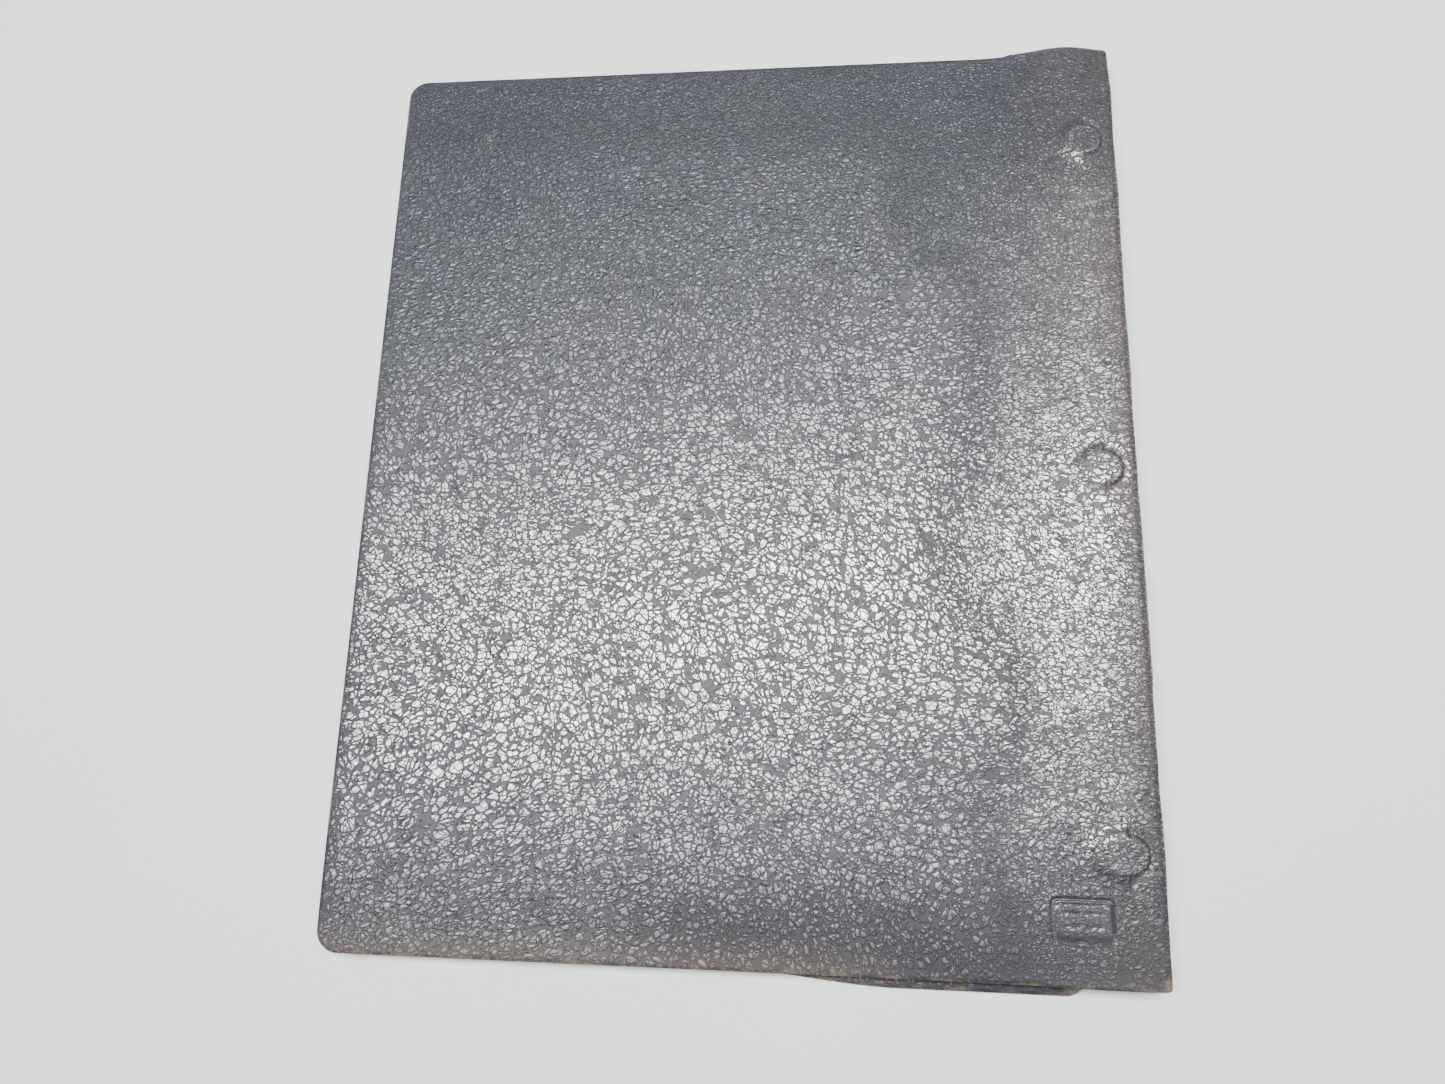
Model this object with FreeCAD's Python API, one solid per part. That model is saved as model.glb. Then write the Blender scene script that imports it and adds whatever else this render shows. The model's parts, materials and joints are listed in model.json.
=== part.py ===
import FreeCAD, Part
import math
import os

# Pilot logbook: a leather cover bound to loose log sheets with three screw posts. It is closed and
# lies on its front cover, so the back cover is on top. +X is the spine side, +Y the head of the
# book, +Z up. The origin is the middle of the footprint, on the table. Lengths are millimetres.
# s is the distance from the outside of the spine, towards the fore-edge.

V = FreeCAD.Vector

# Cover
cover_width = 235.0
cover_height = 284.0
corner_radius = 6.5
leather = 1.0
board = 1.0
lining = 0.4
turn_in = 12.0
edge_round = 0.6
bump_round = 0.8

# Log sheets and tab dividers
sheet_width = 215.9
sheet_height = 279.4
pack_thick = 0.43
divider_thick = 0.15
sections = 4
tab_reach = 12.7
tab_length = 55.0
tab_pitch = 65.0
tab_corner = 3.0

# Binding
hole_spacing = 107.95
hole_margin = 7.8
binding_edge = 2.5
strip_width = 19.5
front_strip_thick = 1.5
back_strip_thick = 2.5
crown_rise = 0.7
shoulder_radius = 3.0
strip_corner = 2.0

# Posts, screws and eyelets
post_head_diameter = 9.0
post_head_thick = 1.5
post_head_sink = 0.7
barrel_diameter = 5.0
screw_head_diameter = 9.0
screw_head_thick = 1.0
screw_diameter = 3.2
slot_width = 1.2
slot_depth = 0.5
eyelet_wall = 0.5
eyelet_flange = 1.1
eyelet_flange_thick = 0.3
head_round = 0.5

# Folds
fold_height = 0.8
slope_run = 6.0
board_inset = 2.7
board_setback = 6.0
droop_length = 11.0

# Clearances
clearance = 0.3
leaf_gap = 0.2
fit = 0.1
paper_gap = 0.02

# Eyelets fit round the posts, and the holes in the strip and the sheets take the eyelets
eyelet_bore = barrel_diameter + 2 * fit
eyelet_sleeve = eyelet_bore + 2 * eyelet_wall
eyelet_flange_diameter = eyelet_sleeve + 2 * eyelet_flange

# Heights of the layers at the binding edge, from the table up
panel_thick = leather + board + lining
screw_low = panel_thick + clearance
front_strip_low = screw_low + screw_head_thick
block_low = front_strip_low + front_strip_thick
section_thick = divider_thick + paper_gap + pack_thick + paper_gap
block_top = block_low + sections * section_thick
crown_in = block_top + back_strip_thick + fit
crown_top = crown_in + leather
post_head_low = block_top + back_strip_thick - post_head_sink
post_head_top = post_head_low + post_head_thick
bump_top = post_head_top + fit / 2 + leather

# Heights of the layers beyond the binding
leaf_pitch = section_thick + leaf_gap
leaf_low = panel_thick + clearance
back_inside = leaf_low + sections * leaf_pitch - leaf_gap + clearance
back_outside = back_inside + panel_thick

# Places across the book
half_height = cover_height / 2
half_sheet = sheet_height / 2
spine_inside = leather
front_start = spine_inside + clearance
front_board_start = front_start + board_inset
strip_end = binding_edge + strip_width
crease = strip_end + slope_run
hole_line = binding_edge + hole_margin
leaf_end = binding_edge + sheet_width
margin_end = strip_end + droop_length
leaf_start = margin_end + 2 * clearance
hole_places = [-hole_spacing, 0.0, hole_spacing]
place_names = ["bottom", "middle", "top"]

# Crowned margin over the back strip: a wide arc that meets the spine in a tight shoulder
crown_centre_s = binding_edge + strip_width / 2
crown_radius = ((strip_width / 2) ** 2 + crown_rise ** 2) / (2 * crown_rise)
crown_centre_z = crown_top - crown_radius
shoulder_run = crown_centre_s - shoulder_radius
shoulder_rise = math.sqrt((crown_radius - shoulder_radius) ** 2 - shoulder_run ** 2)
shoulder_z = crown_centre_z + shoulder_rise
shoulder_angle = math.atan2(shoulder_rise, shoulder_run)
spine_top = shoulder_z - clearance


def at(s, z, y=0.0):
    return V(cover_width / 2 - s, y, z)


def box(s_low, s_high, half_y, z_low, z_high):
    corner = at(s_high, z_low, -half_y)
    return Part.makeBox(s_high - s_low, 2 * half_y, z_high - z_low, corner)


def cylinder(diameter, y, z_low, z_high):
    return Part.makeCylinder(diameter / 2, z_high - z_low, at(hole_line, z_low, y))


def extrude(edges, half_y):
    face = Part.Face(Part.Wire(Part.__sortEdges__(edges)))
    face.translate(V(0, -half_y, 0))
    return face.extrude(V(0, 2 * half_y, 0))


def line(start, end):
    return Part.makeLine(start, end)


def bezier(poles):
    curve = Part.BezierCurve()
    curve.setPoles(poles)
    return curve.toShape()


def round_upright_edges(solid, radius, s):
    x = at(s, 0).x
    chosen = []
    for edge in solid.Edges:
        limits = edge.BoundBox
        upright = limits.XLength < 1e-6 and limits.YLength < 1e-6
        if upright and abs(limits.XMin - x) < 1e-6:
            chosen.append(edge)
    return solid.makeFillet(radius, chosen)


def round_rim(solid, radius, open_s):
    """Rounds the upper and lower rim, all but the sides at open_s."""
    open_x = at(open_s, 0).x
    chosen = []
    for edge in solid.Edges:
        limits = edge.BoundBox
        level = limits.ZLength < 1e-6
        at_open_side = limits.XLength < 1e-6 and abs(limits.XMin - open_x) < 1e-6
        if level and not at_open_side:
            chosen.append(edge)
    return solid.makeFillet(radius, chosen)


def cover_leather(start, board_start):
    """One cover's leather, lying outside down: skin, turned edge and turn-in, open to the spine."""
    skin = box(start, cover_width, half_height, 0, panel_thick)
    skin = round_upright_edges(skin, corner_radius, cover_width)
    skin = round_rim(skin, edge_round, start)
    pocket = cover_board(board_start)
    window = cover_lining(board_start)
    hinge_side = box(start - 1, board_start, half_height + 1, leather, panel_thick + 1)
    return skin.cut(pocket).cut(window).cut(hinge_side)


def cover_board(board_start):
    plate = box(board_start, cover_width - leather, half_height - leather, leather, leather + board)
    return round_upright_edges(plate, corner_radius - leather, cover_width - leather)


def cover_lining(board_start):
    low = leather + board
    return box(board_start, cover_width - turn_in, half_height - turn_in, low, low + lining)


def turned_over(shape):
    """The same piece of the back cover: outside up, at the back cover's height."""
    flipped = shape.mirror(V(0, 0, panel_thick / 2), V(0, 0, 1))
    flipped.translate(V(0, 0, back_inside))
    return flipped


def spine_leather():
    radius = leather / 2
    low_left = at(leather, fold_height)
    low_right = at(0, fold_height)
    foot = Part.Arc(low_left, at(radius, fold_height - radius), low_right).toShape()
    top_left = at(leather, spine_top)
    top_right = at(0, spine_top)
    edges = [foot, line(low_right, top_right), line(top_right, top_left), line(top_left, low_left)]
    return extrude(edges, half_height)


def spine_liner():
    low = panel_thick
    return box(spine_inside, spine_inside + lining, half_height - turn_in, low, spine_top - clearance)


def on_crown(depth, angle):
    reach = crown_radius - depth
    return at(crown_centre_s - reach * math.cos(angle), crown_centre_z + reach * math.sin(angle))


def on_shoulder(depth, angle):
    reach = shoulder_radius - depth
    return at(shoulder_radius - reach * math.cos(angle), shoulder_z + reach * math.sin(angle))


def margin_curves(depth):
    """Shoulder, crown and slope to the crease, depth below the outside of the leather."""
    crown_end = math.pi - math.acos((strip_end - crown_centre_s) / crown_radius)
    crown_middle = (shoulder_angle + crown_end) / 2
    start = on_shoulder(depth, 0)
    joint = on_shoulder(depth, shoulder_angle)
    shoulder = Part.Arc(start, on_shoulder(depth, shoulder_angle / 2), joint).toShape()
    brow = on_crown(depth, crown_end)
    crown = Part.Arc(joint, on_crown(depth, crown_middle), brow).toShape()
    foot = at(crease - clearance, back_outside - depth)
    reach = (crease - clearance - strip_end) / 2
    fall = reach / math.tan(math.pi - crown_end)
    shoulder_pole = V(brow.x - reach, 0, brow.z - abs(fall))
    foot_pole = V(foot.x + reach, 0, foot.z)
    slope = bezier([brow, shoulder_pole, foot_pole, foot])
    return [shoulder, crown, slope], start, foot


def margin_leather():
    outside, outer_start, outer_foot = margin_curves(0)
    inside, inner_start, inner_foot = margin_curves(leather)
    ends = [line(outer_start, inner_start), line(outer_foot, inner_foot)]
    skin = extrude(outside + inside + ends, half_height)
    cap_diameter = post_head_diameter + 2 * fit
    for y in hole_places:
        bump = cylinder(cap_diameter + 2 * leather, y, crown_in + leather / 4, bump_top)
        rims = [edge for edge in bump.Edges if edge.BoundBox.ZMin > bump_top - 1e-6]
        skin = skin.fuse(bump.makeFillet(bump_round, rims))
        skin = skin.cut(cylinder(cap_diameter, y, post_head_low, bump_top - leather))
    return skin.removeSplitter()


def back_strip():
    reach = crown_radius - leather - fit
    half = strip_width / 2
    shoulder = crown_centre_z + math.sqrt(reach ** 2 - half ** 2)
    low_left = at(strip_end, block_top)
    low_right = at(binding_edge, block_top)
    top_left = at(strip_end, shoulder)
    top_right = at(binding_edge, shoulder)
    top = Part.Arc(top_left, at(crown_centre_s, crown_centre_z + reach), top_right).toShape()
    sides = [line(low_left, low_right), line(low_right, top_right), line(low_left, top_left)]
    strip = extrude(sides + [top], half_sheet)
    strip = round_upright_edges(strip, strip_corner, strip_end)
    for y in hole_places:
        strip = strip.cut(cylinder(barrel_diameter + 2 * fit, y, block_top - 1, crown_top))
        strip = strip.cut(cylinder(post_head_diameter + 2 * fit, y, post_head_low, crown_top))
    return strip


def front_strip():
    strip = box(binding_edge, strip_end, half_sheet, front_strip_low, block_low)
    strip = round_upright_edges(strip, strip_corner, strip_end)
    flange_top = front_strip_low + eyelet_flange_thick
    for y in hole_places:
        strip = strip.cut(cylinder(eyelet_sleeve, y, front_strip_low, block_low))
        strip = strip.cut(cylinder(eyelet_flange_diameter, y, front_strip_low, flange_top))
    return strip


def eyelet(y):
    flange_top = front_strip_low + eyelet_flange_thick
    sleeve = cylinder(eyelet_sleeve, y, front_strip_low, block_low)
    flange = cylinder(eyelet_flange_diameter, y, front_strip_low, flange_top)
    return sleeve.fuse(flange).cut(cylinder(eyelet_bore, y, front_strip_low, block_low))


def post(y):
    """Flat-headed post: the head lies under the leather, the hollow barrel reaches the front strip."""
    head = cylinder(post_head_diameter, y, post_head_low, post_head_top)
    rims = [edge for edge in head.Edges if edge.BoundBox.ZMin > post_head_top - 1e-6]
    head = head.makeFillet(head_round, rims)
    barrel_low = front_strip_low + fit
    barrel = cylinder(barrel_diameter, y, barrel_low, post_head_low + head_round)
    bore = cylinder(screw_diameter + fit, y, barrel_low, post_head_low - fit)
    return head.fuse(barrel).cut(bore)


def screw(y):
    """Slotted screw that goes into the post's barrel from inside the front cover."""
    head = cylinder(screw_head_diameter, y, screw_low, front_strip_low)
    rims = [edge for edge in head.Edges if edge.BoundBox.ZMax < screw_low + 1e-6]
    head = head.makeFillet(head_round, rims)
    shank_low = screw_low + slot_depth + fit
    shank = cylinder(screw_diameter, y, shank_low, post_head_low - 3 * fit)
    slot_low = at(hole_line + screw_head_diameter, screw_low, y - slot_width / 2)
    slot = Part.makeBox(2 * screw_head_diameter, slot_width, slot_depth, slot_low)
    return head.fuse(shank).cut(slot)


def droop(block_z, leaf_z):
    """The lower side of a clamped layer: level in the binding, then down to the free leaf's height."""
    start = at(binding_edge, block_z)
    brow = at(strip_end, block_z)
    foot = at(margin_end, leaf_z)
    reach = V(-droop_length / 2, 0, 0)
    return [line(start, brow), bezier([brow, brow + reach, foot - reach, foot])], start, foot


def clamped_layer(block_z, leaf_z, thick):
    lower, low_start, low_foot = droop(block_z, leaf_z)
    upper, top_start, top_foot = droop(block_z + thick, leaf_z + thick)
    layer = extrude(lower + upper + [line(low_start, top_start), line(low_foot, top_foot)], half_sheet)
    for y in hole_places:
        layer = layer.cut(cylinder(eyelet_sleeve, y, block_z - 1, block_z + thick + 1))
    return layer


def free_pack(leaf_z):
    return box(leaf_start, leaf_end, half_sheet, leaf_z, leaf_z + pack_thick)


def free_divider(leaf_z, index):
    leaf = box(leaf_start, leaf_end, half_sheet, leaf_z, leaf_z + divider_thick)
    tab = box(leaf_end - 1, leaf_end + tab_reach, tab_length / 2, leaf_z, leaf_z + divider_thick)
    tab = round_upright_edges(tab, tab_corner, leaf_end + tab_reach)
    tab.translate(V(0, ((sections - 1) / 2 - index) * tab_pitch, 0))
    return leaf.fuse(tab).removeSplitter()


def write(name, shape):
    shape.exportStep("parts/" + name + ".step")
    print(name, "valid" if shape.isValid() else "NOT VALID", round(shape.Volume, 1), len(shape.Solids))


os.makedirs("parts", exist_ok=True)

# Front cover, on the table
write("front_leather", cover_leather(front_start, front_board_start))
write("front_board", cover_board(front_board_start))
write("front_lining", cover_lining(front_board_start))

# Spine, between its two folds
write("spine_leather", spine_leather())
write("spine_liner", spine_liner())

# Binding: crowned leather margin, strips, posts, screws and eyelets
write("back_margin_leather", margin_leather())
write("back_binding_strip", back_strip())
write("front_binding_strip", front_strip())
for place, y in zip(place_names, hole_places):
    write("binding_post_" + place, post(y))
    write("binding_screw_" + place, screw(y))
    write("eyelet_" + place, eyelet(y))

# Sections of the book: a tab divider in front of a pack of log sheets
for index in range(sections):
    number = str(index + 1)
    block_z = block_low + index * section_thick
    leaf_z = leaf_low + index * leaf_pitch
    step = divider_thick + paper_gap
    write("tab_divider_" + number, free_divider(leaf_z, index))
    write("log_sheets_" + number, free_pack(leaf_z + step))
    write("tab_divider_" + number + "_margin", clamped_layer(block_z, leaf_z, divider_thick))
    write("log_sheets_" + number + "_margin", clamped_layer(block_z + step, leaf_z + step, pack_thick))

# Back cover, on top
back_board_start = crease + board_setback
write("back_leather", turned_over(cover_leather(crease + clearance, back_board_start)))
write("back_board", turned_over(cover_board(back_board_start)))
write("back_lining", turned_over(cover_lining(back_board_start)))
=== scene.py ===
import json
import math
import bmesh
import bpy
import numpy as np
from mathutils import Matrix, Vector


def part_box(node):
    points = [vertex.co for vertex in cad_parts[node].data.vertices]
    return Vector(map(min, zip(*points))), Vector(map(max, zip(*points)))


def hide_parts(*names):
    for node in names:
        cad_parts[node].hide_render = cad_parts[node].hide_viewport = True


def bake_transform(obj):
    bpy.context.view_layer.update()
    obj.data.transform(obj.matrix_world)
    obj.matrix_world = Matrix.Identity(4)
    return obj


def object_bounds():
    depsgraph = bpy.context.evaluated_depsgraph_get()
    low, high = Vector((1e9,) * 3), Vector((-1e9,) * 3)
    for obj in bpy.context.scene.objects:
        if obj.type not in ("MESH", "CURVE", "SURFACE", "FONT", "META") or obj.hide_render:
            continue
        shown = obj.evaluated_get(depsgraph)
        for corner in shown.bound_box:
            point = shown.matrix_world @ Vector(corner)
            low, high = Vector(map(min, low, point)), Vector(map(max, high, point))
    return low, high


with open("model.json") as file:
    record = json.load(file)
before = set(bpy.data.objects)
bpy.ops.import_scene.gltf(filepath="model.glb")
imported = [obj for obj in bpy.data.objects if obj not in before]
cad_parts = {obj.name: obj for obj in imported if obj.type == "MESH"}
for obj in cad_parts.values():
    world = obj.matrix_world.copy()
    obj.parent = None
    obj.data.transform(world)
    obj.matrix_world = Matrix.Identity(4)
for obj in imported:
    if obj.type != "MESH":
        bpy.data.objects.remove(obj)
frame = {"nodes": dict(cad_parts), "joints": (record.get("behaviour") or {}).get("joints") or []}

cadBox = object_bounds()
mm = 0.001
rng = np.random.default_rng(7)

# the book's main places, read from the frame (metres; s runs from the spine to the fore-edge)
spineX = cadBox[1].x
coverWidth = cadBox[1].x - cadBox[0].x
halfHeight = cadBox[1].y
backLow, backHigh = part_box("back_leather")
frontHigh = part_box("front_leather")[1]
stripLow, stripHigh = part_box("back_binding_strip")
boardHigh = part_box("back_board")[1]
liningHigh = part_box("back_lining")[1]
postMid = (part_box("binding_post_middle")[0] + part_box("binding_post_middle")[1]) / 2
postTop = (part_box("binding_post_top")[0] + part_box("binding_post_top")[1]) / 2
joints = {joint["name"]: joint for joint in frame["joints"]}


def toX(s):
    return spineX - s


def toS(x):
    return spineX - x


# small helpers

def smooth(low, high, value):
    t = np.clip((value - low) / (high - low), 0, 1)
    return t * t * (3 - 2 * t)


def hill(value, middle, width):
    return np.exp(-((value - middle) / width) ** 2)


# gentle, seeded unevenness between -1 and 1 over two directions
def waves(a, b, size, seed, count=9):
    r = np.random.default_rng(seed)
    total = 0
    for _ in range(count):
        turn = r.uniform(0, 2 * math.pi)
        pitch = size * r.uniform(0.6, 1.8)
        shift = r.uniform(0, 2 * math.pi)
        total = total + np.sin((a * math.cos(turn) + b * math.sin(turn)) * 2 * math.pi / pitch + shift)
    return total / count ** 0.5 / 1.6


def newObject(name, mesh):
    item = bpy.data.objects.new(name, mesh)
    bpy.context.scene.collection.objects.link(item)
    return item


def buildMesh(name, verts, faces, uvs=None, faceSlots=None, marks=None):
    mesh = bpy.data.meshes.new(name)
    mesh.from_pydata(verts.tolist(), [], faces)
    mesh.polygons.foreach_set("use_smooth", [True] * len(mesh.polygons))
    if faceSlots is not None:
        mesh.polygons.foreach_set("material_index", faceSlots)
    if uvs is not None:
        layer = mesh.uv_layers.new(name="grainMap")
        corner = np.zeros(len(mesh.loops), np.int32)
        mesh.loops.foreach_get("vertex_index", corner)
        layer.data.foreach_set("uv", uvs[corner].astype(np.float32).ravel())
    for key, values in (marks or {}).items():
        mesh.attributes.new(key, "FLOAT", "POINT").data.foreach_set("value", values.astype(np.float32))
    mesh.update()
    return mesh


# faces over, under and at every side where the chosen cells of a grid stop
def closedShell(shape, cells, joined, underSlots):
    count = shape[0] * shape[1]
    over = np.arange(count).reshape(shape)
    under = np.where(joined, over, over + count).tolist()
    over = over.tolist()
    padded = np.pad(cells, 1)
    faces, slots = [], []

    def face(corners, slot):
        kept = [v for k, v in enumerate(corners) if v != corners[k - 1]]
        if len(kept) > 2:
            faces.append(kept)
            slots.append(slot)

    for i, j in np.argwhere(cells).tolist():
        ring = ((i, j), (i + 1, j), (i + 1, j + 1), (i, j + 1))
        face([over[p][q] for p, q in ring], 0)
        face([under[p][q] for p, q in reversed(ring)], int(underSlots[i, j]))
        for k, (di, dj) in enumerate(((0, -1), (1, 0), (0, 1), (-1, 0))):
            if not padded[i + 1 + di, j + 1 + dj]:
                (p, q), (u, v) = ring[k], ring[(k + 1) % 4]
                face([over[p][q], under[p][q], under[u][v], over[u][v]], int(underSlots[i, j]))
    return faces, slots


# drop unused points, point the faces outwards and keep hard corners hard
def cleanMesh(mesh):
    bm = bmesh.new()
    bm.from_mesh(mesh)
    bmesh.ops.delete(bm, geom=[v for v in bm.verts if not v.link_faces], context="VERTS")
    bmesh.ops.recalc_face_normals(bm, faces=bm.faces)
    for edge in bm.edges:
        edge.smooth = edge.calc_face_angle(0) < math.radians(55)
    bm.to_mesh(mesh)
    bm.free()


# shader helpers

def nodeTree(name):
    material = bpy.data.materials.new(name)
    material.use_nodes = True
    tree = material.node_tree
    return material, tree, tree.nodes["Principled BSDF"]


def add(tree, kind, settings=None, inputs=None):
    node = tree.nodes.new(kind)
    for key, value in (settings or {}).items():
        setattr(node, key, value)
    for key, value in (inputs or {}).items():
        if isinstance(value, bpy.types.NodeSocket):
            tree.links.new(value, node.inputs[key])
        else:
            node.inputs[key].default_value = value
    return node


def calc(tree, operation, a, b=0.0, clamp=False, c=0.0):
    node = add(tree, "ShaderNodeMath", {"operation": operation, "use_clamp": clamp}, {0: a, 1: b, 2: c})
    return node.outputs[0]


def ramp(tree, value, low, high, outLow=0.0, outHigh=1.0):
    names = {"Value": value, "From Min": low, "From Max": high, "To Min": outLow, "To Max": outHigh}
    return add(tree, "ShaderNodeMapRange", {"interpolation_type": "SMOOTHSTEP"}, names).outputs["Result"]


def mixColor(tree, amount, a, b, blend="MIX"):
    node = add(tree, "ShaderNodeMix", {"data_type": "RGBA", "blend_type": blend})
    for socket, value in ((0, amount), (6, a), (7, b)):
        if isinstance(value, bpy.types.NodeSocket):
            tree.links.new(value, node.inputs[socket])
        else:
            node.inputs[socket].default_value = value
    return node.outputs[2]


def blendValue(tree, amount, a, b):
    rest = calc(tree, "MULTIPLY", calc(tree, "SUBTRACT", 1.0, amount), a)
    return calc(tree, "ADD", calc(tree, "MULTIPLY", amount, b), rest)


def noise(tree, vector, scale, detail=3.0, rough=0.55):
    inputs = {"Vector": vector, "Scale": scale, "Detail": detail, "Roughness": rough}
    return add(tree, "ShaderNodeTexNoise", None, inputs)


def readMark(tree, name):
    return add(tree, "ShaderNodeAttribute", {"attribute_name": name}).outputs["Fac"]


def grainCoords(tree):
    return add(tree, "ShaderNodeUVMap", {"uv_map": "grainMap"}).outputs["UV"]


def objectCoords(tree):
    return add(tree, "ShaderNodeTexCoord").outputs["Object"]


# a shader node group with float or vector inputs; returns (group, input node, output node)
def makeGroup(name, ins, outs):
    group = bpy.data.node_groups.new(name, "ShaderNodeTree")
    for label, kind, value in ins:
        socket = group.interface.new_socket(label, in_out="INPUT", socket_type=kind)
        if value is not None:
            socket.default_value = value
    for label, kind in outs:
        group.interface.new_socket(label, in_out="OUTPUT", socket_type=kind)
    return group, group.nodes.new("NodeGroupInput"), group.nodes.new("NodeGroupOutput")


def place(tree, group, inputs):
    node = tree.nodes.new("ShaderNodeGroup")
    node.node_tree = group
    for key, value in inputs.items():
        if isinstance(value, bpy.types.NodeSocket):
            tree.links.new(value, node.inputs[key])
        else:
            node.inputs[key].default_value = value
    return node


# shared effects

# pebbled hide: rounded lumps in two sizes, parted by creases, with a few long folds
def makePebbleGrain():
    group, given, result = makeGroup("pebbleGrain",
        [("Coords", "NodeSocketVector", None), ("Per Unit", "NodeSocketFloat", 3.6),
         ("Smoothing", "NodeSocketFloat", 0.0)],
        [("Height", "NodeSocketFloat"), ("Top", "NodeSocketFloat"), ("Shade", "NodeSocketFloat")])
    coords, per, worn = given.outputs["Coords"], given.outputs["Per Unit"], given.outputs["Smoothing"]
    wander = noise(group, coords, calc(group, "MULTIPLY", per, 0.35), 2.0).outputs["Color"]
    middle = (0.5, 0.5, 0.5)
    centred = add(group, "ShaderNodeVectorMath", {"operation": "SUBTRACT"}, {0: wander, 1: middle}).outputs[0]
    shove = add(group, "ShaderNodeVectorMath", {"operation": "SCALE"}, {0: centred, "Scale": 0.34}).outputs[0]
    bent = add(group, "ShaderNodeVectorMath", {"operation": "ADD"}, {0: coords, 1: shove}).outputs[0]

    def cells(share, low, high):
        names = {"Vector": bent, "Scale": calc(group, "MULTIPLY", per, share), "Randomness": 0.95}
        edge = add(group, "ShaderNodeTexVoronoi", {"feature": "DISTANCE_TO_EDGE"}, names)
        return ramp(group, edge.outputs["Distance"], low, high)

    lumps = cells(1.0, 0.03, 0.15)
    beads = cells(1.75, 0.0, 0.15)
    folds = cells(0.34, 0.0, 0.05)
    pores = noise(group, coords, calc(group, "MULTIPLY", per, 5.5), 3.0).outputs["Fac"]
    # some lumps stand lower than their neighbours
    patchy = noise(group, coords, calc(group, "MULTIPLY", per, 0.55), 2.0).outputs["Fac"]
    uneven = ramp(group, patchy, 0.36, 0.5, 0.8, 1.0)
    lobed = calc(group, "MULTIPLY", lumps, calc(group, "MULTIPLY_ADD", beads, 0.75, c=0.25))
    creased = calc(group, "MULTIPLY_ADD", folds, 0.6, c=0.4)
    sunk = calc(group, "MULTIPLY", calc(group, "MULTIPLY", lobed, uneven), creased)
    folded = ramp(group, sunk, 0.0, 0.85)
    dome = cells(1.0, 0.0, 0.34)
    body = calc(group, "MULTIPLY_ADD", folded, 0.7, c=calc(group, "MULTIPLY", dome, 0.4))
    roughness = calc(group, "MULTIPLY_ADD", folded, -0.17, c=0.2)
    height = calc(group, "MULTIPLY_ADD", pores, roughness, c=body)
    keep = calc(group, "SUBTRACT", 1.0, worn, True)
    group.links.new(calc(group, "MULTIPLY", height, keep), result.inputs["Height"])
    group.links.new(folded, result.inputs["Top"])
    cellShade = add(group, "ShaderNodeTexVoronoi", None, {"Vector": bent, "Scale": per, "Randomness": 0.95})
    group.links.new(cellShade.outputs["Color"], result.inputs["Shade"])
    return group


# turns a mark painted on the mesh (wear, and the painted highlight ring on each post bump) into a ragged
# mask, and gives broad blotches of colour change
def makeScuffs():
    group, given, result = makeGroup("scuffs",
        [("Coords", "NodeSocketVector", None), ("Mark", "NodeSocketFloat", 0.0),
         ("Raggedness", "NodeSocketFloat", 0.5)],
        [("Mask", "NodeSocketFloat"), ("Blotch", "NodeSocketFloat")])
    coords, mark, ragged = given.outputs["Coords"], given.outputs["Mark"], given.outputs["Raggedness"]
    fine = noise(group, coords, 7.0, 5.0, 0.7).outputs["Fac"]
    signed = calc(group, "MULTIPLY", calc(group, "SUBTRACT", fine, 0.5), ragged)
    group.links.new(ramp(group, calc(group, "ADD", mark, signed), 0.18, 0.75), result.inputs["Mask"])
    group.links.new(noise(group, coords, 0.35, 4.0, 0.6).outputs["Fac"], result.inputs["Blotch"])
    return group


# plain weave: threads over and under, with slubs
def makeWeave():
    group, given, result = makeGroup("weave",
        [("Coords", "NodeSocketVector", None), ("Threads", "NodeSocketFloat", 1600.0)],
        [("Height", "NodeSocketFloat"), ("Slub", "NodeSocketFloat")])
    coords, threads = given.outputs["Coords"], given.outputs["Threads"]
    split = add(group, "ShaderNodeSeparateXYZ", None, {0: coords})
    across = calc(group, "SINE", calc(group, "MULTIPLY", split.outputs[0], threads))
    along = calc(group, "SINE", calc(group, "MULTIPLY", split.outputs[1], threads))
    checker = calc(group, "MULTIPLY", across, along)
    group.links.new(calc(group, "ABSOLUTE", checker), result.inputs["Height"])
    group.links.new(noise(group, coords, 900.0, 3.0).outputs["Fac"], result.inputs["Slub"])
    return group


pebbleGrain = makePebbleGrain()
scuffs = makeScuffs()
weave = makeWeave()


# materials

# crease is a darker colour painted into the grain's creases as shade; lump is the colour of the pebble tops
leatherLook = {
    # crease and lump carry a blue tint: a painted reflection of blue surroundings on the black leather
    "crease": (0.0018, 0.0024, 0.0055, 1), "lump": (0.0145, 0.0170, 0.0300, 1),
    "brown": (0.092, 0.066, 0.043, 1), "umber": (0.080, 0.060, 0.045, 1), "rubbedAndHighlight": (0.17, 0.165, 0.155, 1),
    "coarse": 4.6, "fine": 7.2, "grainDepth": 0.30 * mm,
    "creaseRough": 0.56, "lumpRough": 0.33, "wornRough": 0.2,
    "coat": 0.97, "coatRough": 0.29, "coatIor": 1.82, "specular": 0.42,
}


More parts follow.
